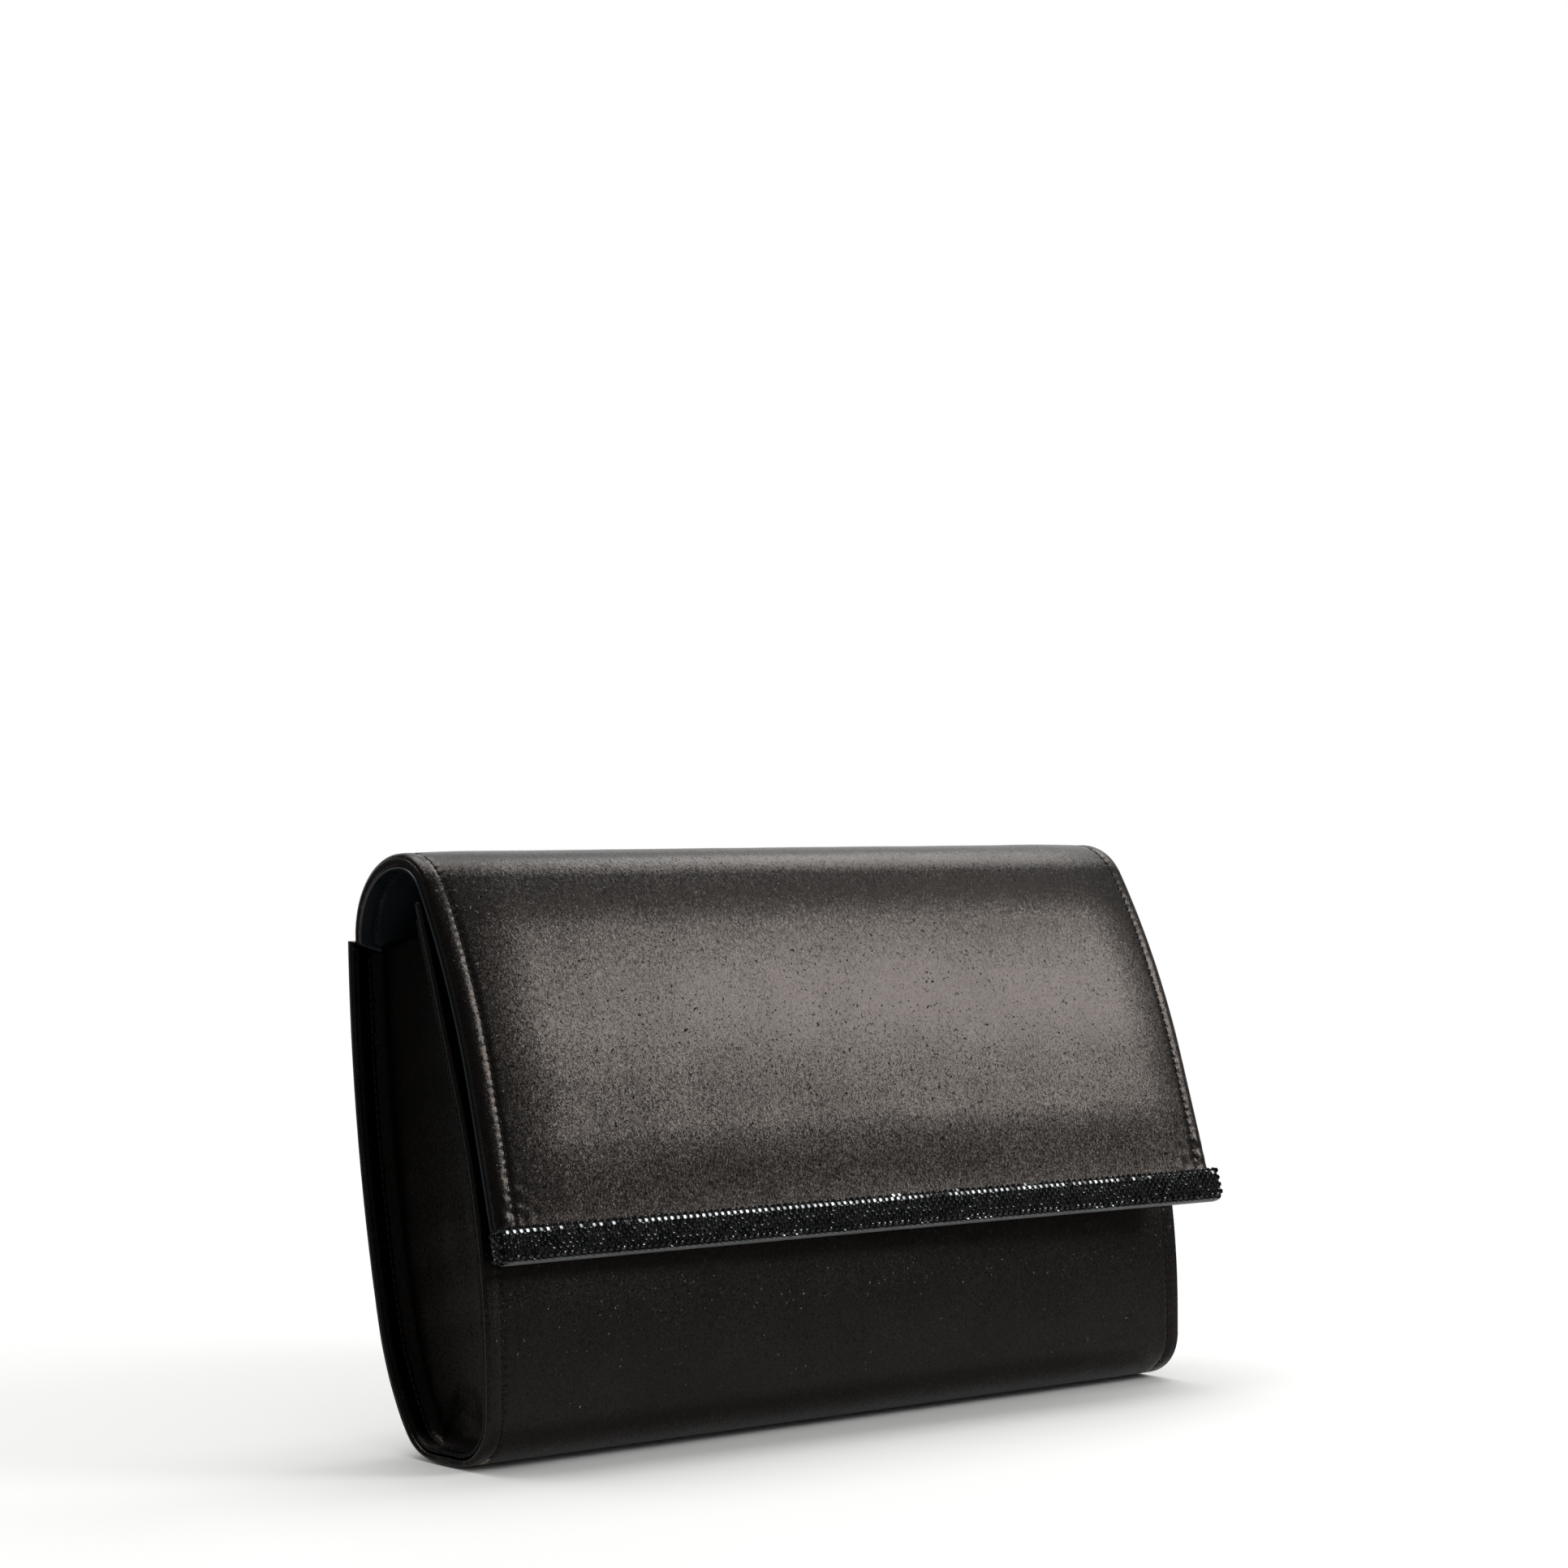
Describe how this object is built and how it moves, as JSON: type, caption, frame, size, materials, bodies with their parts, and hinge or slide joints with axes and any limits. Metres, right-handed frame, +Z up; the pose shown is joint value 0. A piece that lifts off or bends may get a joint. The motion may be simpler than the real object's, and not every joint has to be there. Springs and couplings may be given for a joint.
{
  "type": "clutch purse",
  "caption": "Evening clutch purse with a stiffened wrap body, recessed end gussets and a padded flap that ends in a crystal-covered bar and closes on a magnetic snap.",
  "frame": {"origin": "on the floor, under the middle of the whole purse's outer box", "axes": "+X along the purse, from its left end to its right as seen from the front; +Y from front to back; +Z up"},
  "size_m": [0.253, 0.076, 0.1574],
  "materials": {
    "satin": "satin",
    "flap_lining": "satin",
    "lining": "satin",
    "board": "matte",
    "foam": "matte",
    "crystal_mesh": "gloss",
    "bar_metal": "satin",
    "backing_tape": "matte",
    "snap_metal": "polished",
    "magnet": "satin"
  },
  "bodies": {
    "bag": {"back_board": "board", "base_board": "board", "front_board": "board", "gusset_cover_left": "satin", "gusset_cover_right": "satin", "gusset_lining_left": "lining", "gusset_lining_right": "lining", "gusset_stiffener_left": "board", "gusset_stiffener_right": "board", "pocket_binding": "lining", "shell_cover": "satin", "shell_lining": "lining", "slip_pocket": "lining", "snap_socket_base": "snap_metal", "snap_socket_cap": "snap_metal", "snap_socket_magnet": "magnet", "snap_socket_washer": "snap_metal", "flap_tail": "satin"},
    "arch_rear": {"arch_rear_cover": "satin", "arch_rear_foam": "foam", "arch_rear_lining": "flap_lining"},
    "arch_front": {"arch_front_cover": "satin", "arch_front_foam": "foam", "arch_front_lining": "flap_lining"},
    "flap": {"bar_backing": "backing_tape", "bar_core": "bar_metal", "bar_sleeve": "crystal_mesh", "flap_board": "board", "flap_cover": "satin", "flap_foam": "foam", "flap_lining": "flap_lining", "snap_stud": "snap_metal", "snap_stud_plate": "snap_metal", "snap_stud_washer": "snap_metal"}
  },
  "joints": [
    {"name": "flap_seam_hinge", "type": "hinge", "parent": "bag", "child": "arch_rear", "pos_m": [0, 0.03564, 0.13378], "axis": [-1, 0, 0], "range_deg": [0, 80]},
    {"name": "flap_crown_hinge", "type": "hinge", "parent": "arch_rear", "child": "arch_front", "pos_m": [0, 0.02317, 0.15495], "axis": [-1, 0, 0], "range_deg": [0, 56]},
    {"name": "flap_shoulder_hinge", "type": "hinge", "parent": "arch_front", "child": "flap", "pos_m": [0, -0.00092, 0.14969], "axis": [-1, 0, 0], "range_deg": [0, 48]}
  ],
  "couplings": [
    {"joint": "flap_crown_hinge", "follows": "flap_seam_hinge", "ratio": 0.7},
    {"joint": "flap_shoulder_hinge", "follows": "flap_seam_hinge", "ratio": 0.6}
  ]
}
